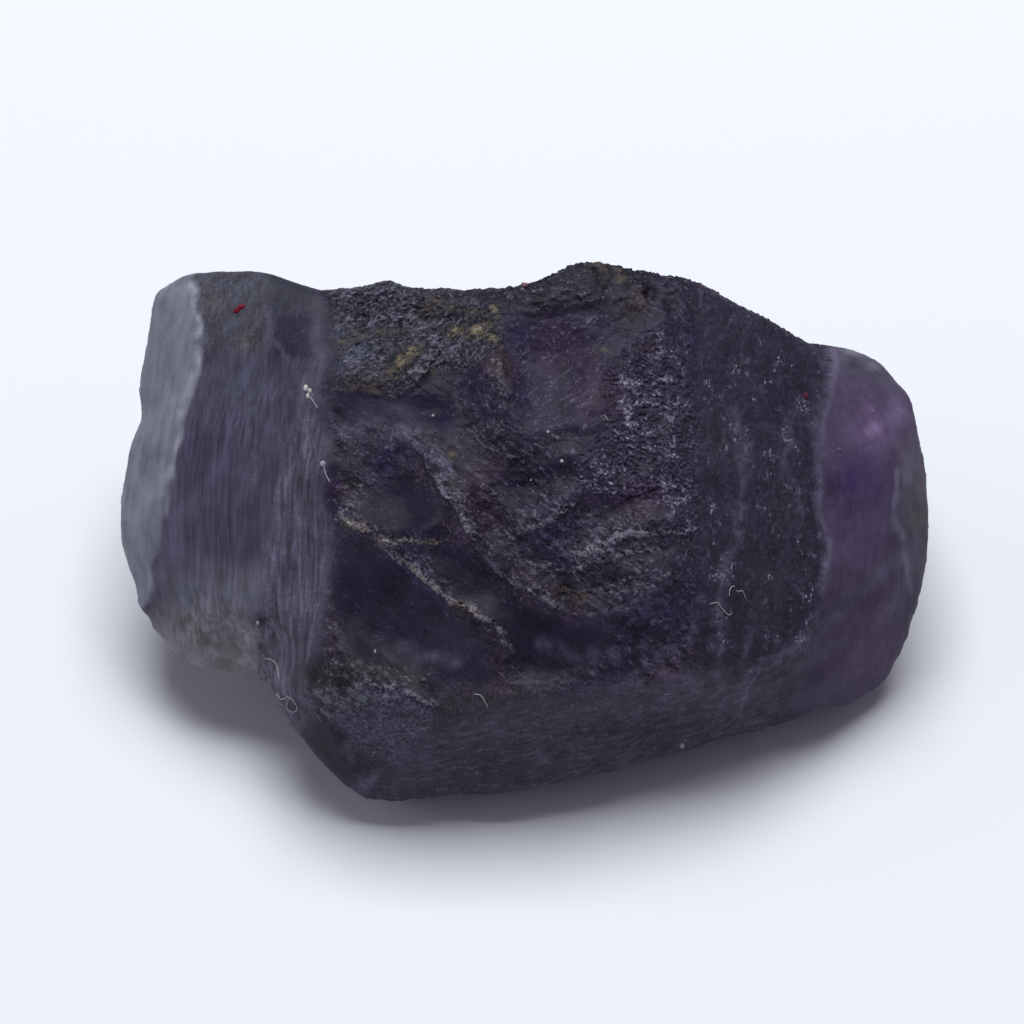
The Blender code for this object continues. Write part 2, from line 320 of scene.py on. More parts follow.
def in_patch(outline, soft, wander=8.0):
    """1 inside a closed outline of pixels, 0 outside, and soft over that many pixels at its edge."""
    u, v = columns + wander * wander_a, rows + wander * wander_b
    inside = np.zeros(len(u), bool)
    for (u0, v0), (u1, v1) in zip(outline, outline[1:] + outline[:1]):
        if v0 != v1:
            inside ^= ((v0 > v) != (v1 > v)) & (u < (u1 - u0) * (v - v0) / (v1 - v0) + u0)
    distance = line_marks(outline + outline[:1], wander)[0]
    return faces_eye * ramp(np.where(inside, distance, -distance), -soft, soft)


def in_spot(column, row, radius, tall=1.0):
    """1 at a pixel, falling smoothly to 0 at the radius. A tall spot reaches farther up and down."""
    return faces_eye * ramp(-np.hypot(columns - column, (rows - row) / tall), -radius, 0)


def strongest(*layers):
    """The largest of several weights on each vertex."""
    return np.max(layers, axis=0)


def in_spots(spots):
    """The strongest of many round spots."""
    return strongest(*(in_spot(*spot) for spot in spots))


# %% [markdown]
# Fluorite breaks in shells that meet in thin crests. Each crest is a small step: the skin above the line
# rises gently towards it and drops off sharply below it. Each entry gives the line, its rise, how frosted it
# is and how warm that frost looks. Crushed crystal along a crest scatters the light. The apron, the drop and
# the frost are widths in pixels, and the share turns the rises into millimetres.

# %% Fracture crests
CRESTS = {
    "left_shelf": ([(347, 527), (365, 533), (387, 541), (410, 543), (435, 543)], 0.2, 1.0, 0.9),
    "left_slant": ([(371, 538), (387, 550), (420, 576), (447, 598), (470, 611), (488, 623), (500, 640),
      (512, 650)], 0.24, 0.9, 0.7),
    "long_slant": ([(430, 470), (445, 490), (460, 515), (472, 544), (493, 568), (515, 585), (550, 601),
      (570, 612), (592, 616), (608, 612), (632, 603), (653, 587)], 0.3, 0.75, 0.25),
    "fork": ([(515, 538), (540, 528), (560, 515), (572, 506)], 0.12, 0.7, 0.3),
    "fork_low": ([(500, 522), (525, 520), (545, 510)], 0.08, 0.5, 0.4),
    "right_wave": ([(583, 557), (600, 548), (618, 538), (640, 533), (651, 533),
      (686, 530)], 0.18, 0.95, 0.2),
    "second_wave": ([(578, 571), (600, 562), (617, 558), (652, 552)], 0.12, 0.7, 0.2),
    "third_wave": ([(600, 596), (625, 592), (650, 584), (668, 574)], 0.1, 0.6, 0.3),
    "low_wave": ([(628, 622), (642, 618), (660, 622)], 0.08, 0.6, 0.3),
    "grain_rim": ([(553, 474), (575, 480), (597, 488), (620, 493), (645, 490)], 0.12, 0.6, 0.1),
    "bowl_foot": ([(505, 444), (530, 446), (560, 440), (585, 428)], 0.06, 0.4, 0.6),
    "bowl_side": ([(500, 440), (503, 410), (502, 380), (498, 362)], 0.12, 0.5, 0.3),
    "crust_ledge": ([(340, 391), (365, 394), (397, 397), (412, 386), (424, 372)], 0.16, 0.5, 0.5),
    "left_curl": ([(345, 517), (352, 505), (362, 488), (374, 476)], 0.1, 0.6, 0.5),
    "snout_lip": ([(316, 694), (330, 688), (362, 686), (390, 690), (410, 695), (434, 703)], 0.16, 0.8, 0.3),
    "rim_ledge": ([(503, 314), (530, 313), (560, 309), (590, 303), (620, 300), (640, 308)], 0.16, 0.15, 0.5),
    "saddle_ledge": ([(412, 318), (450, 312), (480, 318), (505, 312)], 0.14, 0.2, 0.6),
    "fine_left": ([(442, 491), (460, 498), (480, 508), (502, 525)], 0.06, 0.6, 0.5),
    "fine_cross": ([(520, 560), (545, 568), (575, 572), (600, 576)], 0.05, 0.5, 0.3),
    "fine_wave": ([(560, 590), (590, 592), (620, 584), (645, 572)], 0.06, 0.6, 0.2),
    "fine_top": ([(470, 430), (490, 446), (510, 458), (545, 462)], 0.05, 0.4, 0.3),
    "low_ledge": ([(437, 714), (460, 706), (480, 700), (505, 706), (530, 700), (560, 694), (600, 688),
      (650, 676), (700, 664)], 0.1, 0.12, 0.6),
}
CREST_APRON, CREST_DROP, CREST_FROST, CREST_SHARE = 26.0, 5.0, 7.0, 0.55

crest_rise, crest_frost, crest_warm, apron = (np.zeros(len(places)) for _ in range(4))
for name, (line, rise, frosted, warm) in CRESTS.items():
    distance, above = line_marks(line, 5.0)
    uneven = np.clip(0.8 + 0.5 * mid_noise, 0.2, 1.3)
    slope = np.where(above > 0, np.exp(-distance / CREST_APRON), np.clip(1 - distance / CREST_DROP, 0, 1))
    crest_rise = np.maximum(crest_rise, faces_eye * CREST_SHARE * rise * slope * uneven)
    edge = faces_eye * frosted * np.clip(1.15 - np.abs(distance * above - 2) / CREST_FROST, 0, 1) * uneven
    crest_warm = np.where(edge > crest_frost, warm, crest_warm)
    crest_frost = np.maximum(crest_frost, edge)
    if rise > 0.11:
        apron = np.maximum(apron, faces_eye * frosted * (above > 0) * np.exp(-distance / CREST_APRON))
print("crests touch", int((crest_frost > 0.1).sum()), "vertices")

# %% [markdown]
# The skin changes from place to place, along its creases. Each patch below is an outline in pixels, with how
# soft its border is, its 8-bit colour and how strongly it covers what lies under it. Some steer relief too.

# %% Patches of skin
PATCHES = {
    "left_block": ([(90, 180), (322, 180), (324, 330), (331, 470), (330, 560), (322, 650), (298, 700),
      (290, 820), (90, 820)], 9, (76, 73, 90), 1.0),
    "left_cap": ([(193, 230), (262, 230), (270, 300), (264, 350), (228, 358),
      (199, 350)], 8, (77, 78, 89), 0.9),
    "cap_corner": ([(256, 230), (322, 230), (316, 310), (272, 312)], 8, (49, 52, 63), 0.8),
    "purple_patch": ([(270, 314), (312, 314), (314, 362), (274, 360)], 7, (37, 30, 54), 0.8),
    "blue_haze": ([(205, 362), (270, 358), (274, 425), (215, 432)], 14, (82, 83, 102), 0.7),
    "left_violet": ([(166, 430), (240, 420), (250, 480), (240, 560), (160, 560),
      (165, 500)], 16, (77, 70, 91), 0.8),
    "left_rose": ([(156, 500), (205, 490), (200, 565), (150, 570)], 16, (100, 93, 114), 0.6),
    "left_grey": ([(160, 570), (268, 570), (262, 625), (170, 620)], 18, (113, 114, 127), 0.7),
    "left_foot": ([(145, 625), (200, 612), (272, 630), (272, 740), (140, 740)], 24, (144, 141, 148), 0.85),
    "band": ([(300, 372), (322, 400), (330, 470), (330, 560), (322, 640), (300, 668), (318, 705),
      (300, 755), (262, 690), (256, 640), (262, 560), (278, 470)], 7, (86, 85, 101), 0.8),
    "left_end": ([(60, 200), (165, 240), (196, 285), (197, 304), (198, 377), (181, 444), (164, 512),
      (153, 556), (150, 600), (60, 660)], 3, (128, 129, 143), 1.0),
    "crust": ([(328, 280), (370, 270), (420, 280), (500, 306), (508, 345), (470, 368), (440, 372),
      (410, 386), (340, 390)], 12, (55, 54, 67), 0.9),
    "blue_crust": ([(332, 326), (376, 330), (380, 358), (336, 372)], 10, (80, 84, 101), 0.6),
    "rim": ([(420, 240), (640, 235), (655, 285), (640, 306), (600, 304), (540, 312), (500, 314), (440, 318),
      (405, 300)], 7, (45, 42, 56), 0.9),
    "plateau": ([(334, 394), (400, 400), (424, 396), (428, 424), (345, 425)], 7, (57, 55, 75), 0.8),
    "hollow": ([(408, 396), (442, 392), (456, 402), (455, 425), (440, 430),
      (412, 420)], 7, (31, 20, 58), 0.95),
    "round_bowl": ([(512, 318), (560, 312), (612, 308), (625, 345), (610, 385), (590, 428), (530, 440),
      (508, 400)], 12, (55, 47, 73), 0.85),
    "left_bowl": ([(372, 487), (412, 475), (435, 500), (440, 536), (390, 532),
      (360, 520)], 9, (34, 28, 52), 0.9),
    "violet_wedge": ([(326, 462), (350, 468), (344, 512), (328, 524)], 7, (28, 16, 55), 0.8),
    "low_bowl": ([(333, 545), (372, 550), (420, 590), (470, 626), (492, 650), (490, 684), (430, 676),
      (350, 655), (334, 610)], 9, (45, 40, 59), 0.95),
    "mid_bowl": ([(438, 540), (470, 562), (520, 605), (570, 626), (610, 630), (600, 655), (540, 676),
      (508, 655), (470, 600), (436, 572)], 9, (40, 34, 53), 0.95),
    "deep_gap": ([(470, 455), (505, 450), (552, 470), (560, 500), (520, 505),
      (490, 490)], 9, (22, 16, 42), 0.9),
    "grain": ([(602, 384), (628, 345), (660, 322), (690, 345), (698, 440), (702, 540), (672, 545),
      (650, 505), (610, 500), (560, 486), (566, 460), (606, 440)], 26, (61, 54, 76), 0.8),
    "right_face": ([(694, 240), (826, 330), (832, 380), (818, 430), (818, 500), (826, 570), (815, 640),
      (760, 690), (700, 660), (704, 500)], 7, (57, 52, 70), 0.9),
    "right_end": ([(824, 330), (960, 330), (960, 720), (800, 760), (790, 700), (816, 640), (828, 570),
      (820, 500), (820, 430), (832, 380)], 5, (79, 69, 93), 1.0),
    # The glow patch is painted light, as if light came through the clear right end.
    "glow": ([(834, 380), (880, 384), (906, 400), (905, 440), (888, 452),
      (846, 450)], 16, (87, 73, 102), 0.95),
    "violet_core": ([(838, 455), (880, 450), (884, 500), (846, 510)], 14, (80, 63, 101), 0.85),
    "rose_foot": ([(840, 615), (890, 600), (900, 670), (850, 690)], 18, (90, 73, 101), 0.7),
    "right_rim": ([(896, 440), (960, 440), (960, 570), (912, 575), (900, 530)], 7, (89, 82, 99), 0.8),
    "right_shoulder": ([(832, 330), (900, 330), (925, 400), (900, 396), (868, 378),
      (838, 376)], 7, (89, 86, 103), 0.7),
    "bottom": ([(436, 716), (480, 704), (560, 697), (650, 680), (700, 668), (760, 692), (800, 690),
      (800, 840), (340, 840), (340, 790), (400, 770)], 20, (76, 69, 86), 0.95),
    "snout_cap": ([(322, 696), (362, 690), (432, 704), (436, 722), (400, 764),
      (352, 748)], 6, (77, 75, 95), 0.95),
    "olive_left": ([(300, 664), (345, 660), (420, 670), (432, 692), (362, 684),
      (312, 690)], 8, (49, 46, 50), 0.8),
    "olive_right": ([(437, 684), (500, 680), (560, 680), (556, 700), (500, 712),
      (440, 712)], 9, (76, 70, 79), 0.8),
}
patch = {name: in_patch(outline, soft) for name, (outline, soft, _, _) in PATCHES.items()}
on = SimpleNamespace(**patch)
front = faces_eye * (1 - on.left_block) * (1 - ramp(columns, 690, 706)) * (1 - ramp(rows, 672, 700))
smooth_bowls = strongest(
    on.hollow, on.left_bowl, on.low_bowl, on.mid_bowl, on.plateau, 0.6 * on.round_bowl
)
crusty = strongest(on.crust, on.rim)
bottom_left = strongest(on.bottom, on.snout_cap)
broken = front * (1 - 0.85 * smooth_bowls) * (1 - on.crust) * (1 - 0.8 * on.grain)
print("patches:", len(patch), "and the grain covers", int((on.grain > 0.5).sum()), "vertices")

# %% [markdown]
# Crests, pits and terraces move the skin straight along its normals. A pit is its pixel, its radius in
# pixels, its depth in millimetres and, where it isn't round, how tall it is for its width. The terraces are
# steps of cleavage, which the far side is guessed to have.

# %% Carve crests, pits and terraces
PITS = [
    (650, 291, 10, 0.2, 1.7), (672, 308, 10, 0.18, 1.7), (434, 409, 32, 0.2, 0.55), (262, 622, 6, 0.12),
    (442, 728, 14, 0.12), (423, 742, 8, 0.06), (585, 682, 10, 0.09), (600, 678, 9, 0.09),
    (650, 675, 11, 0.09), (358, 768, 9, 0.1), (578, 729, 9, 0.07), (592, 727, 7, 0.06),
    (510, 400, 8, 0.08), (372, 715, 10, 0.06),
]
TERRACE_STEPS, TERRACE_HEIGHT = 2.2, 0.16 / 2.2

carve = crest_rise.copy()
for column, row, radius, depth, *tall in PITS:
    carve -= depth * in_spot(column, row, radius, *tall)
steps = noise_field(2.6, 210.0, 2) * TERRACE_STEPS
terraces = np.floor(steps) + ramp(steps - np.floor(steps), 0.80, 1.0)
carve += TERRACE_HEIGHT * (1 - faces_eye) * terraces
carve += 0.03 * broad_noise + 0.05 * front * (1 - smooth_bowls) * mid_noise
stone.data.vertices.foreach_set("co", (places + normals * (carve * MM)[:, None]).ravel())
stone.data.update()
print("carved between", round(carve.min(), 2), "and", round(carve.max(), 2), "mm")

# %% [markdown]
# The broken texture comes from Displace modifiers, each held to its patch by a vertex group. An empty,
# turned and stretched, gives a texture its grain: long along the striae and short across them. The numbers
# are the height in millimetres, the grain's width and length, and how far it leans in the picture.

# %% Broken textures
def grain_space(across_mm, along_mm, lean):
    """A space that is short across a grain and long along it, leaning in the picture by these degrees."""
    turn = Matrix.Rotation(-VIEW_TILT, 4, "X") @ Matrix.Rotation(math.radians(lean), 4, "Y")
    return turn @ Matrix.Diagonal((across_mm * MM, across_mm * MM, along_mm * MM, 1))


def roughen(name, weights, height, across_mm, along_mm, lean=0.0, kind="CLOUDS", **settings):
    """Moves the skin in and out by a texture, by up to half the height in millimetres either way."""
    texture = bpy.data.textures.new(name, kind)
    for key, value in settings.items():
        setattr(texture, key, value)
    bpy.ops.object.empty_add(type="PLAIN_AXES")
    guide = bpy.context.object
    guide.matrix_world = grain_space(across_mm, along_mm, lean)
    bpy.context.view_layer.update()
    shape_with(
        stone, "DISPLACE", name, texture=texture, texture_coords="OBJECT", texture_coords_object=guide,
        vertex_group=hold_to(name, weights), strength=height * MM, mid_level=0.5,
    )
    bpy.data.objects.remove(guide)
    bpy.data.textures.remove(texture)


skyline = faces_eye * (1 - ramp(rows, 285, 330)) * ramp(columns, 330, 400)
roughen("slanting_hackles", broken * (0.45 + 0.55 * apron), 0.20, 0.30, 1.3, lean=130, noise_depth=4)
roughen("rising_hackles", broken * ramp(columns, 480, 560), 0.14, 0.24, 0.9, lean=68, noise_depth=3)
roughen("crumbs", broken, 0.12, 0.16, 0.26, lean=125, noise_depth=2, noise_type="HARD_NOISE")
roughen("etched_grains", on.grain, 0.12, 0.18, 0.26, lean=120, kind="VORONOI")
roughen("crust_lumps", crusty, 0.18, 0.24, 0.60, lean=62, noise_depth=3)
roughen("left_striae", on.left_block * (1 - on.left_end), 0.035, 0.13, 4.0, noise_depth=2)
roughen("band_striae", on.band, 0.06, 0.16, 5.0, noise_depth=2)
roughen("right_waves", on.right_face, 0.13, 0.34, 1.8, lean=4, noise_depth=3)
roughen("right_dimples", on.right_face, 0.08, 0.17, 0.17, kind="VORONOI")
roughen("end_ripples", strongest(on.right_end, on.left_end), 0.07, 0.5, 1.5, noise_depth=3)
roughen("foot_ripples", bottom_left, 0.14, 0.30, 0.9, lean=75, noise_depth=4)
roughen("skyline", skyline, 0.14, 0.55, 0.55, noise_depth=2)
roughen("far_side_breaks", 1 - faces_eye, 0.16, 0.6, 0.6, noise_depth=4)
print("relief done,", len(stone.data.vertices), "vertices kept")

# %% [markdown]
# The base has to stay flat and the stone has to stay inside its own true box, so the few vertices that the
# relief pushed out are brought back. The curvature of the finished skin is measured too, close up and from
# farther off: an edge is where a vertex stands above the middle of its neighbours.

# %% Keep the box and measure the edges
places, normals = skin_arrays()
places = np.clip(places, np.array(stone_low), np.array(stone_high))
stone.data.vertices.foreach_set("co", places.ravel())
stone.data.update()
ends = np.empty(len(stone.data.edges) * 2, int)
stone.data.edges.foreach_get("vertices", ends)
ends = ends.reshape(-1, 2)
neighbours = np.bincount(ends.ravel(), minlength=len(places))


def blurred(values, rounds):
    """Each vertex takes the mean of its neighbours, so many times."""
    for _ in range(rounds):
        total = np.zeros_like(values)
        for axis in range(values.shape[1]):
            total[:, axis] += np.bincount(ends[:, 0], values[ends[:, 1], axis], len(values))
            total[:, axis] += np.bincount(ends[:, 1], values[ends[:, 0], axis], len(values))
        values = total / neighbours[:, None]
    return values


stand_out = ((places - blurred(places, 3)) * normals).sum(axis=1) / MM
broad_stand_out = ((places - blurred(places, 14)) * normals).sum(axis=1) / MM
edge_wear = ramp(stand_out, 0.008, 0.035)
ridge = ramp(broad_stand_out, 0.02, 0.11)
hollow = ramp(-broad_stand_out, 0.02, 0.12)
print("worn edges:", int((edge_wear > 0.5).sum()), "vertices")

# %% [markdown]
# Lint fibres, a white flake and a few coloured crumbs lie on the real stone. A ray from the camera through
# each pixel finds where on the skin they lie. They become part of the stone's own mesh, at the end of its
# list of vertices. Lint is measured in pixels. A crumb is its pixel, its width and height, and its colour.

# %% Lint and crumbs
LINT = [
    [(729, 596), (730, 589), (734, 586), (737, 591), (742, 591), (745, 597)],
    [(710, 604), (717, 603), (723, 610), (731, 614), (731, 611)],
    [(474, 694), (480, 695), (486, 703), (488, 707)], [(324, 466), (326, 474), (330, 482)],
    [(310, 397), (314, 402), (318, 408)], [(265, 658), (275, 662), (279, 676), (280, 698), (286, 698)],
    [(268, 693), (277, 695), (279, 697)], [(287, 696), (296, 704), (296, 711), (288, 709), (289, 699)],
    [(614, 430), (619, 435)], [(604, 415), (608, 420)],
]
LINT_RADIUS, LINT_CLEARANCE, LINT_COLOUR = 0.45, 0.4, (176, 176, 182)
CRUMB_CLEARANCE, CRUMB_FLATNESS = 0.3, 0.6
CRUMBS = [
    ((306, 388), (2.4, 3.4), (222, 220, 214)), ((310, 391), (2.2, 2.8), (200, 198, 194)),
    ((308, 396), (1.8, 3.0), (214, 212, 206)), ((323, 464), (3.2, 3.2), (170, 164, 168)),
    ((242, 307), (4.6, 2.8), (128, 22, 52)), ((237, 311), (3.8, 3.0), (112, 18, 44)),
    ((682, 745), (2.2, 3.4), (200, 198, 205)), ((805, 396), (3.2, 3.6), (92, 40, 60)),
    ((258, 622), (1.8, 3.0), (178, 176, 182)), ((375, 652), (1.2, 2.6), (176, 170, 164)),
    ((525, 282), (3.0, 2.6), (150, 110, 120)), ((477, 772), (1.8, 1.6), (140, 132, 138)),
    ((562, 461), (1.8, 1.8), (190, 184, 196)), ((548, 432), (1.6, 1.6), (180, 178, 186)),
    ((433, 416), (1.5, 1.5), (186, 180, 205)), ((531, 480), (1.2, 1.2), (150, 146, 160)),
    ((872, 412), (1.5, 1.5), (140, 124, 150)), ((839, 450), (2.6, 2.4), (112, 92, 110)),
]


def on_skin(column, row, lift_pixels):
    """The place on the stone that a pixel sees, lifted a little. A miss tries rows above and below it."""
    for nudge in (0, 3, -3, 6, -6, 10, -10, 15, -15):
        found, place, normal, _ = stone.ray_cast(Vector(eye), ray_through(column, row + nudge))
        if found:
            break
    return place + normal * lift_pixels * PIXEL


def lint_fibre(line):
    """One thin curled fibre along these pixels."""
    curve = bpy.data.curves.new("fibre", "CURVE")
    curve.dimensions, curve.bevel_depth, curve.bevel_resolution = "3D", LINT_RADIUS * PIXEL, 1
    curve.resolution_u = 4
    spots = [on_skin(*pixel, LINT_CLEARANCE) for pixel in line]
    spline = curve.splines.new("BEZIER")
    spline.bezier_points.add(len(spots) - 1)
    for point, spot in zip(spline.bezier_points, spots):
        point.co, point.handle_left_type, point.handle_right_type = spot, "AUTO", "AUTO"
    fibre = bpy.data.objects.new("fibre", curve)
    bpy.context.scene.collection.objects.link(fibre)
    pick(fibre)
    bpy.ops.object.convert(target="MESH")
    return bpy.context.object


def crumb(pixel, size):
    """A small lump, this many pixels wide and high, half sunk in the skin."""
    bpy.ops.mesh.primitive_ico_sphere_add(
        subdivisions=2, radius=PIXEL, location=on_skin(*pixel, CRUMB_CLEARANCE),
        rotation=(math.pi / 2 - VIEW_TILT, 0, 0), scale=(*size, CRUMB_FLATNESS * min(size)),
    )
    lump = bpy.context.object
    bpy.ops.object.transform_apply(location=True, rotation=True, scale=True)
    return lump


dirt = [(lint_fibre(line), LINT_COLOUR) for line in LINT]
dirt += [(crumb(pixel, size), colour) for pixel, size, colour in CRUMBS]
dirt_colours = [colour for piece, colour in dirt for _ in piece.data.vertices]
bpy.ops.object.select_all(action="DESELECT")
for piece, _ in dirt:
    piece.select_set(True)
stone.select_set(True)
bpy.context.view_layer.objects.active = stone
bpy.ops.object.join()
print("lint and crumbs:", len(dirt), "pieces,", len(dirt_colours), "vertices")

# %% [markdown]
# Now the stone is painted, coat over coat, on its vertices. First come the body and the patches, then pale
# ribbons: veils just under the skin. A ribbon is a line, how wide it spreads and how strong it is.

# %% Body, patches and ribbons
BODY, WARM_BODY, VIOLET_BODY = (53, 49, 66), (54, 45, 59), (47, 39, 65)
# The first colour below is a painted shade for pits and hollows; the second is a pale haze.
RECESS_SHADE, HAZE = (28, 23, 41), (92, 89, 109)
RIBBONS = [
    ([(735, 410), (742, 440), (741, 470), (738, 530), (728, 560), (720, 590), (717, 620)], 10, 0.4),
    ([(830, 355), (832, 375), (822, 405), (817, 435), (816, 485), (822, 520), (827, 560), (821, 600),
      (811, 630), (790, 650), (760, 665), (735, 685)], 7, 0.5),
    ([(797, 400), (787, 430), (785, 460), (796, 490), (801, 520)], 8, 0.2),
    ([(900, 560), (860, 590), (830, 620), (800, 650), (770, 668), (745, 690), (720, 715)], 13, 0.4),
    ([(897, 480), (893, 515), (897, 540), (905, 560), (911, 585)], 5, 0.75),
    ([(716, 640), (711, 670), (722, 690)], 9, 0.35), ([(752, 620), (748, 650), (742, 690)], 7, 0.4),
    ([(845, 640), (800, 668), (760, 700)], 9, 0.3), ([(700, 600), (680, 650), (640, 660)], 12, 0.25),
    ([(273, 343), (280, 352), (288, 361)], 3, 0.6), ([(273, 557), (290, 548), (307, 540)], 4, 0.55),
    ([(238, 440), (232, 480), (236, 540)], 8, 0.25), ([(214, 450), (208, 500), (206, 550)], 9, 0.25),
    ([(358, 421), (380, 421), (404, 422)], 4, 0.6),
    ([(345, 432), (380, 425), (415, 432), (440, 455), (452, 485)], 14, 0.45),
    ([(352, 790), (368, 782), (382, 772), (392, 765)], 8, 0.7),
    ([(346, 745), (352, 765), (365, 788)], 8, 0.4),
    ([(440, 735), (520, 722), (600, 716), (680, 704)], 16, 0.2),
    ([(300, 600), (296, 640), (306, 680)], 6, 0.4), ([(380, 640), (420, 655), (455, 662)], 12, 0.3),
    ([(540, 640), (580, 655), (640, 652)], 12, 0.3),
]


def seen_as(colour):
    """The linear base colour of an 8-bit colour."""
    return (np.array(colour) / 255) ** 2.2


def coat(layer, colour, weight):
    """Lays a colour over a layer of vertex colours, by weight."""
    layer += (seen_as(colour) - layer) * np.clip(weight, 0, 1)[:, None]


tint = np.tile(seen_as(BODY), (len(places), 1))
coat(tint, WARM_BODY, ramp(broad_noise, 0.0, 0.35) * 0.8)
coat(tint, VIOLET_BODY, ramp(-broad_noise, 0.0, 0.35) * 0.8)
for name, (_, _, colour, strength) in PATCHES.items():
    coat(tint, colour, patch[name] * strength)
for line, width, strength in RIBBONS:
    coat(tint, HAZE, 1.5 * strength * on_line(line, width, 6.0) * (0.8 + 0.7 * fine_noise))
print("ribbons:", len(RIBBONS))

# %% [markdown]
# Single spots and lines come next. The clear right end gets a painted glow, as if light came through it, and
# the edges of both ends get painted rim light. The front has faint magenta and orange stains, the left block
# yellow ones. A glow or tone spot is its pixel, its radius, how tall it is for its width, its colour and its
# strength.

# %% Spots, lines and stains
# Painted rim light: the first and last colours here pale the edges of both ends, as if lit where they are
# thin.
LEFT_RIM_LIGHT, VEIN, SHOULDER_RIM_LIGHT = (176, 178, 190), (112, 108, 132), (150, 145, 160)
MAGENTA, ORANGE, YELLOW = (66, 46, 70), (76, 60, 56), (92, 88, 78)
GLOW_AND_TONE_SPOTS = [
    (876, 430, 26, 1.0, (104, 88, 122), 0.7), (873, 430, 12, 1.0, (134, 116, 154), 0.8),
    (866, 409, 15, 0.6, (104, 86, 118), 0.7), (897, 412, 17, 1.4, (110, 99, 128), 0.9),
    (850, 482, 32, 0.7, (66, 52, 90), 0.9), (832, 487, 12, 1.2, (50, 42, 66), 0.8),
    (853, 362, 12, 0.8, (62, 62, 76), 0.9), (862, 366, 7, 0.8, (70, 70, 82), 0.8),
    (874, 366, 14, 0.6, (122, 118, 132), 0.8), (892, 452, 10, 0.7, (76, 62, 82), 0.7),
    (862, 526, 26, 1.6, (84, 66, 98), 0.6), (913, 510, 14, 3.0, (80, 74, 84), 0.8),
    (907, 478, 10, 1.4, (106, 102, 122), 0.7), (768, 590, 42, 1.2, (62, 60, 72), 0.5),
    (790, 500, 36, 1.5, (62, 60, 72), 0.5), (722, 440, 36, 1.4, (64, 61, 72), 0.5),
    (780, 395, 36, 0.8, (52, 46, 70), 0.6), (420, 764, 40, 0.8, (88, 82, 102), 0.6),
]
PALE_LINES = [
    ([(192, 272), (196, 300), (199, 350), (197, 372)], 5, LEFT_RIM_LIGHT, 0.7),
    ([(191, 372), (184, 400), (179, 430), (174, 455), (170, 478)], 5, LEFT_RIM_LIGHT, 0.7),
    ([(158, 246), (192, 240), (240, 236)], 6, LEFT_RIM_LIGHT, 0.6),
    ([(120, 470), (116, 520), (124, 570)], 8, LEFT_RIM_LIGHT, 0.6),
    ([(832, 352), (836, 372), (829, 400), (822, 430), (820, 480), (824, 520), (829, 560),
      (825, 590)], 4, VEIN, 0.6),
    ([(897, 468), (893, 505), (900, 535), (908, 560), (913, 592)], 4, VEIN, 1.0),
    ([(848, 350), (880, 354), (905, 375), (922, 405)], 7, SHOULDER_RIM_LIGHT, 0.7),
    ([(735, 410), (742, 440), (740, 500), (736, 545), (724, 575), (718, 600), (722, 640),
      (716, 680)], 5, VEIN, 0.35),
    ([(803, 392), (792, 425), (786, 462), (797, 492), (802, 520)], 4, VEIN, 0.2),
    ([(812, 632), (790, 650), (764, 660), (748, 690), (738, 716)], 4, VEIN, 0.5),
]
MAGENTA_SPOTS = [(600, 395, 50), (640, 500, 40), (345, 490, 26), (560, 350, 40), (490, 470, 30)]
ORANGE_SPOTS = [(500, 365, 26), (604, 352, 18), (648, 355, 22), (640, 300, 20)]
YELLOW_SPOTS = [
    (150, 402, 16), (166, 455, 14), (136, 500, 14), (248, 343, 14), (205, 640, 30), (228, 660, 30),
    (180, 622, 18), (236, 645, 16), (160, 612, 10), (920, 520, 20), (208, 300, 20),
]

# The bright spots are a painted glow, as if light came through the clear end; the darker ones are tone.
for column, row, radius, tall, colour, strength in GLOW_AND_TONE_SPOTS:
    coat(tint, colour, strength * in_spot(column, row, radius, tall) * (1 + 0.4 * fine_noise))
for line, width, colour, strength in PALE_LINES:
    coat(tint, colour, strength * on_line(line, width, 5.0) * (0.8 + 0.6 * fine_noise))
coat(tint, MAGENTA, 0.45 * in_spots(MAGENTA_SPOTS))
coat(tint, ORANGE, 0.6 * in_spots(ORANGE_SPOTS) * ramp(mid_noise, -0.4, 0.3))
yellow = in_spots(YELLOW_SPOTS) * (1 - 0.6 * on.left_end)
coat(tint, YELLOW, 0.7 * yellow * ramp(fine_noise, -0.5, 0.4))
print("clear spots:", len(GLOW_AND_TONE_SPOTS), "and pale lines:", len(PALE_LINES))

# %% [markdown]
# The relief calls for paint too: pits and hollows get a painted shade of deep violet and ridges are rubbed
# pale. Light inside the real stone softens the shading of its front, so the paint there is a painted shade
# where the light falls full and a painted light where it falls less. Then noise makes it all uneven, in
# streaks along the grain. Clear faces stay smoother, except where dotted.

# %% Relief, streaks and clear faces
EVENNESS, LIGHT_ALL_ROUND = 0.8, 0.35
DOTTED_SPOTS = [
    (208, 345, 10), (250, 342, 13), (253, 455, 9), (253, 480, 9), (252, 505, 9), (300, 330, 8),
    (722, 452, 24), (770, 470, 26), (768, 520, 28), (708, 532, 24), (752, 585, 20),
]


def streak_places(across_mm, along_mm, lean):
    """Places in a grain's own space, where plain noise gives streaks."""
    space = np.array(grain_space(across_mm, along_mm, lean).inverted())[:3, :3]
    return places @ space.T


def striae_noise(across_mm, along_mm, lean):
    """Noise on every vertex that runs in long streaks."""
    spots = streak_places(across_mm, along_mm, lean)
    return np.array([noise.fractal(Vector(spot), 1.0, 2.0, 2) for spot in spots])


open_face = 1 - 0.6 * on.left_block
# Painted shade: pits darken by their depth and broad hollows by their curvature.
for column, row, radius, depth, *tall in PITS:
    coat(tint, RECESS_SHADE, 3.0 * depth * in_spot(column, row, radius, *tall))
coat(tint, RECESS_SHADE, 0.25 * hollow * open_face)
coat(tint, HAZE, 0.18 * ridge * open_face * (1 - smooth_bowls) * (0.7 + 0.6 * fine_noise))

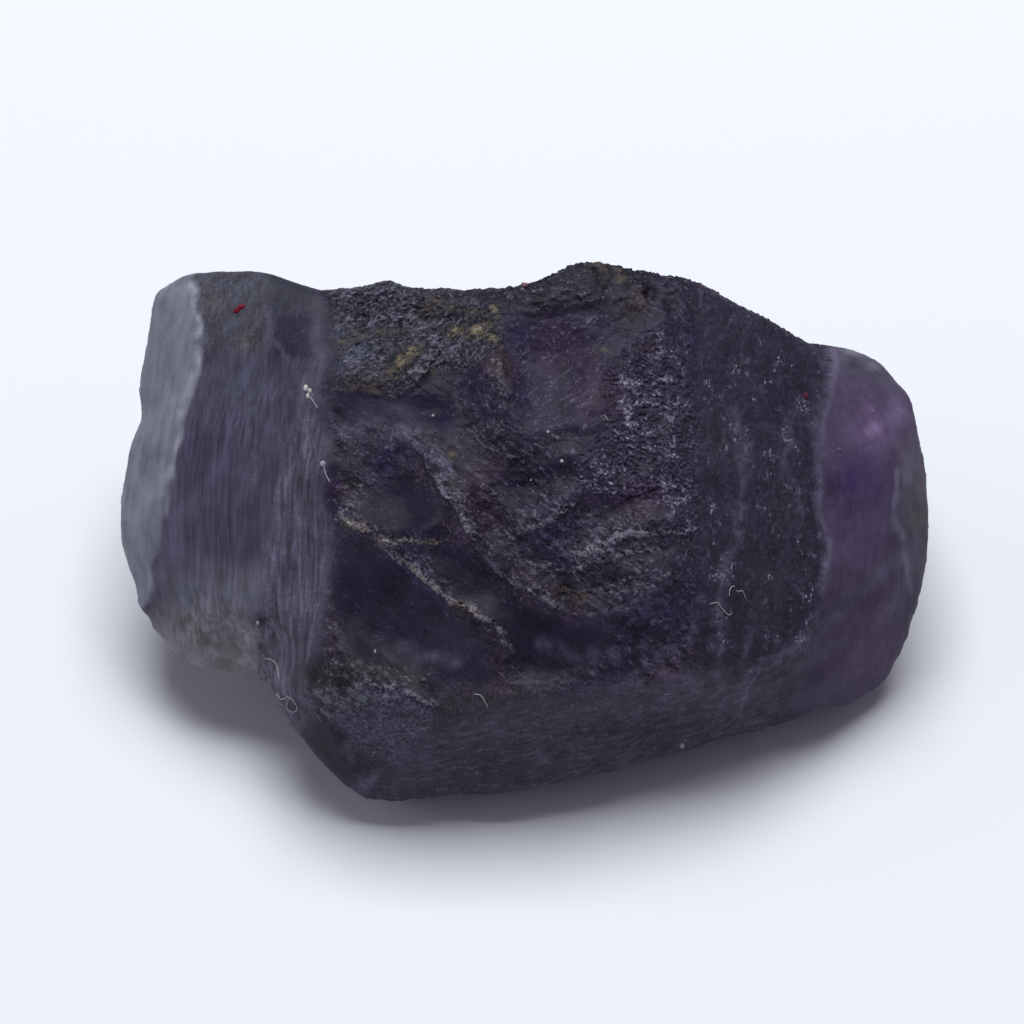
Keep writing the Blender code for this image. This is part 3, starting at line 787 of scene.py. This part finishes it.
# Painted light and shade: the front is lightened where the light falls less and darkened where it falls
# full.
lit = np.clip(blurred(normals, 6) @ np.array(Vector(LIGHT_PLACE).normalized()), 0, 1) + LIGHT_ALL_ROUND
even_light = (lit / ((lit * front).sum() / front.sum())) ** -EVENNESS
tint *= (1 + front * (even_light - 1))[:, None]

dotted = in_spots(DOTTED_SPOTS) * ramp(fine_noise, -0.4, 0.2)
dotted = strongest(dotted, on.right_face * ramp(fine_noise + mid_noise, 0.1, 0.6))
clear_left = on.left_block * (0.85 - 0.35 * on.left_cap - 0.35 * on.band)
clear_right = strongest(0.6 * on.right_face, 0.85 * on.right_end)
clear_faces = strongest(clear_left, clear_right, 0.6 * smooth_bowls, 0.3 * on.bottom)
rough = 1 - clear_faces * (1 - 0.8 * dotted)
upright, slanting = striae_noise(0.28, 3.5, 2), striae_noise(0.30, 1.3, 128)
rising = striae_noise(0.26, 1.0, 62)
mottle = 1 + 0.24 * mid_noise + rough * (0.32 * fine_noise + 0.22 * speckle)
mottle += upright * (0.25 * on.left_block + 0.45 * on.band + 0.30 * on.right_face)
mottle += 0.45 * slanting * broken + 0.35 * rising * crusty
tint *= np.clip(mottle, 0.4, 1.8)[:, None]
print("the paint's brightness varies from", round(mottle.min(), 2), "to", round(mottle.max(), 2))

# %% [markdown]
# A second set of colours holds the frost and crust, which the shader lays on with a ragged border. Crushed
# crystal is cold grey on most edges and warm on some crests. Ochre crust sits in the creases at the top.
# The sparkle says where splinters of the broken crystal vary in tone and get painted glints. The far side
# gets less of both.

# %% Frost, ochre and sparkle
COLD_FROST, WARM_FROST, GRAIN_FROST = (121, 119, 138), (136, 129, 124), (130, 125, 150)
SNOUT_FROST, OCHRE, GOLD = (118, 120, 130), (88, 82, 72), (126, 115, 92)
OCHRE_SPOTS = [
    (352, 386, 18), (372, 388, 20), (392, 372, 16), (408, 358, 18), (414, 350, 12), (432, 374, 12),
    (355, 335, 14), (452, 332, 16), (472, 330, 18), (488, 326, 14), (495, 312, 14), (498, 340, 12),
    (430, 308, 22), (604, 350, 12), (330, 372, 12), (428, 545, 12), (380, 430, 8), (452, 455, 12),
    (600, 268, 20), (345, 528, 12), (580, 600, 22), (560, 590, 18), (460, 610, 14), (620, 275, 18),
]
GOLD_SPOTS = [
    (455, 331, 11.7), (478, 330, 13), (492, 337, 9.1), (400, 362, 10.4),
    (412, 352, 9.1), (494, 308, 7.8),
]
OCHRE_LINES = [
    ([(343, 388), (365, 388), (388, 382), (403, 362), (425, 349)], 9),
    ([(446, 332), (470, 328), (492, 336), (502, 347)], 9), ([(340, 340), (372, 336), (400, 330)], 7),
    ([(430, 300), (470, 312), (500, 318)], 8),
]
GLINT_OUTLINE = [(308, 684), (350, 684), (400, 692), (395, 702), (352, 712), (330, 728), (314, 712)]
FAR_SIDE_FROST = 0.35

ochre = strongest(in_spots(OCHRE_SPOTS), *(on_line(line, width, 5.0) for line, width in OCHRE_LINES))
gold = in_spots(GOLD_SPOTS)
grain_clusters = on.grain * ramp(0.5 * mid_noise + 0.9 * fine_noise + 0.5 * speckle, -0.45, 0.65)
# The glint patch is pale frost with painted glints on the top of the snout.
glint_patch = in_patch(GLINT_OUTLINE, 8) * ramp(fine_noise + speckle, -0.5, 0.4)

frost_colour = np.tile(seen_as(COLD_FROST), (len(places), 1))
coat(frost_colour, WARM_FROST, crest_warm * (crest_frost > 0.05))
coat(frost_colour, GRAIN_FROST, on.grain)
coat(frost_colour, SNOUT_FROST, on.snout_cap)
coat(frost_colour, OCHRE, ramp(ochre, 0.1, 0.4))
coat(frost_colour, GOLD, ramp(gold, 0.1, 0.5))
rubbed = edge_wear * strongest(
    0.85 * grain_clusters, 0.55 * on.crust, 0.35 * on.rim, 0.50 * broken * (0.3 + apron),
    0.18 * on.right_face, 0.5 * (1 - faces_eye), 0.6 * on.snout_cap, 0.15 * on.bottom,
)
frost = strongest(
    0.95 * crest_frost, rubbed, 0.56 * grain_clusters, 0.40 * on.crust, 0.7 * ochre, 0.9 * gold,
    0.70 * glint_patch, (0.16 + 0.22 * apron) * broken, 0.30 * dotted,
    0.34 * on.snout_cap, 0.22 * on.round_bowl, 0.18 * on.bottom,
)
sparkle = strongest(
    0.4 * on.grain + 0.6 * grain_clusters, 0.45 * on.crust, 0.9 * gold, 0.8 * glint_patch,
    0.95 * crest_frost, 0.75 * dotted, (0.35 + 0.35 * apron) * broken, 0.12 * front, 0.5 * on.rim,
)
less_behind = FAR_SIDE_FROST + (1 - FAR_SIDE_FROST) * faces_eye
frost, sparkle = frost * less_behind, sparkle * less_behind
print("frost covers", int((frost > 0.5).sum()), "vertices")

# %% [markdown]
# The shader needs one more thing: the way the grain runs. A stretched copy of each vertex's place does this,
# so that plain noise read there comes out as upright striae on the ends and as slanting hackles in front.
# The first space is for all the skin that no patch below it claims. Streaks fade out where two spaces meet.

# %% Write the paint to the mesh
GRAIN_SPACES = [
    ("front", (0.15, 0.55, 128)), ("left_block", (0.12, 1.4, 2)), ("right_face", (0.14, 0.24, 6)),
    ("right_end", (0.15, 1.2, 4)), ("bottom", (0.15, 0.6, 78)), ("snout_cap", (0.12, 0.3, 60)),
    ("rim", (0.14, 0.5, 80)), ("crust", (0.13, 0.34, 58)), ("round_bowl", (0.15, 0.5, 50)),
    ("grain", (0.12, 0.2, 120)),
]
space_index = np.zeros(len(places), int)
for index, (name, _) in enumerate(GRAIN_SPACES[1:], 1):
    space_index[patch[name] > 0.5] = index
streak_place = np.empty_like(places)
for index, (_, space) in enumerate(GRAIN_SPACES):
    inside = space_index == index
    streak_place[inside] = streak_places(*space)[inside]
seam = np.zeros((len(places), 1))
seam[ends[space_index[ends[:, 0]] != space_index[ends[:, 1]]].ravel()] = 1
away_from_seam = 1 - np.clip(3 * blurred(seam, 2)[:, 0], 0, 1)
streak = away_from_seam * strongest(
    0.5 * on.left_block * (1 - 0.7 * on.left_end) * np.clip(1 + broad_noise, 0.3, 1.4),
    0.8 * on.band, 0.4 * on.right_face, 0.2 * on.right_end, 0.7 * broken,
    0.6 * bottom_left, 0.3 * smooth_bowls, 0.6 * on.grain, 0.8 * on.crust, 0.6 * on.rim,
    0.4 * (1 - faces_eye),
)
sparkle *= away_from_seam
dirt_tint = np.array([seen_as(colour) for colour in dirt_colours])
nothing = np.zeros(len(dirt_tint))


def write_layer(name, skin_values, dirt_values):
    """An attribute of the mesh, of single values or of triples, for the skin and then the dirt."""
    values = np.concatenate([skin_values, dirt_values]).astype(np.float32)
    kind, field = ("FLOAT", "value") if values.ndim == 1 else ("FLOAT_VECTOR", "vector")
    layer = stone.data.attributes.new(name, kind, "POINT")
    layer.data.foreach_set(field, values.ravel())


write_layer("skin_colour", tint, dirt_tint)
write_layer("frost_colour", frost_colour, dirt_tint)
write_layer("streak_place", streak_place, np.zeros((len(dirt_tint), 3)))
for name, values in {"frost": frost, "sparkle": sparkle, "streak": streak, "rough": rough}.items():
    write_layer(name, values, nothing)
print("attributes:", [layer.name for layer in stone.data.attributes if not layer.name.startswith(".")])

# %% [markdown]
# Two small effects are node groups, ready to be used again: a mask with a ragged border and fine splinters
# of crystal. The first one's noise is made outside it, which keeps the render fast.

# %% Shader node groups
FLOAT, VECTOR = "NodeSocketFloat", "NodeSocketVector"


def ragged_mask_group():
    """A mask whose soft border is broken up by noise."""
    group, given, result = new_group(
        "ragged_mask",
        {"Mask": (FLOAT, 0.0), "Noise": (FLOAT, 0.5), "Raggedness": (FLOAT, 1.0), "Low": (FLOAT, 0.3),
         "High": (FLOAT, 0.7)},
        {"Mask": FLOAT},
    )
    centred = maths(group, "SUBTRACT", given["Noise"], 0.5)
    pushed = maths(group, "MULTIPLY_ADD", centred, given["Raggedness"], given["Mask"])
    borders = {"Value": pushed, "From Min": given["Low"], "From Max": given["High"]}
    cut = add(group, "MapRange", borders, interpolation_type="SMOOTHSTEP")
    group.links.new(cut.outputs[0], result["Mask"])
    return group


def splinter_group():
    """Fine splinters: a tone for each cell of a fine mesh of cells, and a painted glint in some of them."""
    group, given, result = new_group(
        "splinters",
        {"Place": (VECTOR, None), "Scale": (FLOAT, 2.0), "Size": (FLOAT, 0.25), "Share": (FLOAT, 0.3)},
        {"Mask": FLOAT, "Tone": FLOAT},
    )
    cells = add(group, "TexVoronoi", {"Vector": given["Place"], "Scale": given["Scale"]})
    small = maths(group, "LESS_THAN", cells.outputs["Distance"], given["Size"])
    chance = add(group, "SeparateColor", {"Color": cells.outputs["Color"]}).outputs
    chosen = maths(group, "LESS_THAN", chance[0], given["Share"])
    group.links.new(maths(group, "MULTIPLY", small, chosen), result["Mask"])
    group.links.new(chance[1], result["Tone"])
    return group


ragged_mask, splinters = ragged_mask_group(), splinter_group()
print("groups:", ragged_mask.name, splinters.name)

# %% [markdown]
# The stone's material is one Principled BSDF. Part of its light goes through the surface, bends by the
# refractive index of fluorite and is taken up inside by a purple absorption. The rest is the painted skin,
# which fine noise breaks up: grit where it is rough, streaks along the grain, splinters that differ in tone,
# ragged frost over them and painted glints last. Grit and streaks also raise the skin a little.

# %% Fluorite material
FLUORITE_IOR, SEE_THROUGH, SHINE = 1.434, 0.30, 0.12
ABSORPTION_COLOUR, ABSORPTION_DENSITY = (0.62, 0.40, 0.80, 1), 420.0
GLINT = (0.46, 0.46, 0.55, 1)
GRIT_SCALE, SPLINTER_SCALE, SPLINTER_SIZE, SPLINTER_SHARE = 11000.0, 1.5, 0.34, 0.30
GRIT_TONES, STREAK_TONES, SPLINTER_TONES = (0.64, 1.36), (0.58, 1.42), (0.58, 1.42)
RAGGEDNESS, FROST_BORDER = 2.6, (0.3, 1.0)
BUMP_STRENGTH, BUMP_HEIGHT, GRIT_HEIGHT = 0.7, 0.07 * MM, 0.5


def fluorite_material():
    """The stone's material, which reads its paint from the mesh."""
    material = bpy.data.materials.new("purple_fluorite")
    material.use_nodes = True
    tree = material.node_tree
    shader = tree.nodes["Principled BSDF"]
    shader.inputs["IOR"].default_value = FLUORITE_IOR
    shader.inputs["Transmission Weight"].default_value = SEE_THROUGH
    shader.inputs["Specular IOR Level"].default_value = SHINE

    place = add(tree, "TexCoord").outputs["Object"]
    streak_place = attribute(tree, "streak_place", "Vector")
    grit = add(tree, "TexNoise", {"Vector": place, "Scale": GRIT_SCALE, "Detail": 1.0}).outputs["Fac"]
    streaks = add(
        tree, "TexNoise", {"Vector": streak_place, "Scale": 1.0, "Detail": 1.0, "Roughness": 0.6}
    ).outputs["Fac"]
    cells = use_group(
        tree, splinters,
        {"Place": streak_place, "Scale": SPLINTER_SCALE, "Size": SPLINTER_SIZE, "Share": SPLINTER_SHARE},
    )
    streak_share, frost_mask = attribute(tree, "streak"), attribute(tree, "frost")
    sparkle, rough = attribute(tree, "sparkle"), attribute(tree, "rough")

    colour = attribute(tree, "skin_colour", "Color")
    colour = toned(tree, rough, colour, stretch(tree, grit, 0.35, 0.65, *GRIT_TONES))
    colour = toned(tree, streak_share, colour, stretch(tree, streaks, 0.35, 0.65, *STREAK_TONES))
    colour = toned(tree, sparkle, colour, stretch(tree, cells["Tone"], 0.0, 1.0, *SPLINTER_TONES))
    both_noises = maths(tree, "MULTIPLY", maths(tree, "ADD", grit, streaks), 0.5)
    ragged = use_group(tree, ragged_mask, {
        "Mask": frost_mask, "Noise": both_noises, "Raggedness": RAGGEDNESS, "Low": FROST_BORDER[0],
        "High": FROST_BORDER[1],
    })[0]
    colour = mix_colour(tree, ragged, colour, attribute(tree, "frost_colour", "Color"))
    # Painted glints: a pale colour on some splinter cells where the sparkle is strong.
    shining = maths(tree, "MULTIPLY", cells["Mask"], stretch(tree, sparkle, 0.5, 0.9))
    colour = mix_colour(tree, shining, colour, GLINT)
    tree.links.new(colour, shader.inputs["Base Color"])
    tree.links.new(stretch(tree, grit, 0.3, 0.7, 0.50, 0.66), shader.inputs["Roughness"])

    raised = maths(tree, "MULTIPLY", grit, maths(tree, "MULTIPLY", rough, GRIT_HEIGHT))
    height = maths(tree, "ADD", raised, maths(tree, "MULTIPLY", streaks, streak_share))
    bump = add(tree, "Bump", {"Height": height, "Strength": BUMP_STRENGTH, "Distance": BUMP_HEIGHT})
    tree.links.new(bump.outputs["Normal"], shader.inputs["Normal"])

    absorb = add(tree, "VolumeAbsorption", {"Color": ABSORPTION_COLOUR, "Density": ABSORPTION_DENSITY})
    tree.links.new(absorb.outputs[0], tree.nodes["Material Output"].inputs["Volume"])
    return material


stone.data.materials.clear()
stone.data.materials.append(fluorite_material())
faceted = np.concatenate([strongest(on.grain, on.crust, crest_frost), nothing])
for polygon in stone.data.polygons:
    polygon.material_index = 0
    polygon.use_smooth = bool(faceted[polygon.vertices[0]] < 0.5)
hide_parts("fluorite")
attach(stone, "root")
print("the stone has", len(stone.data.polygons), "faces")
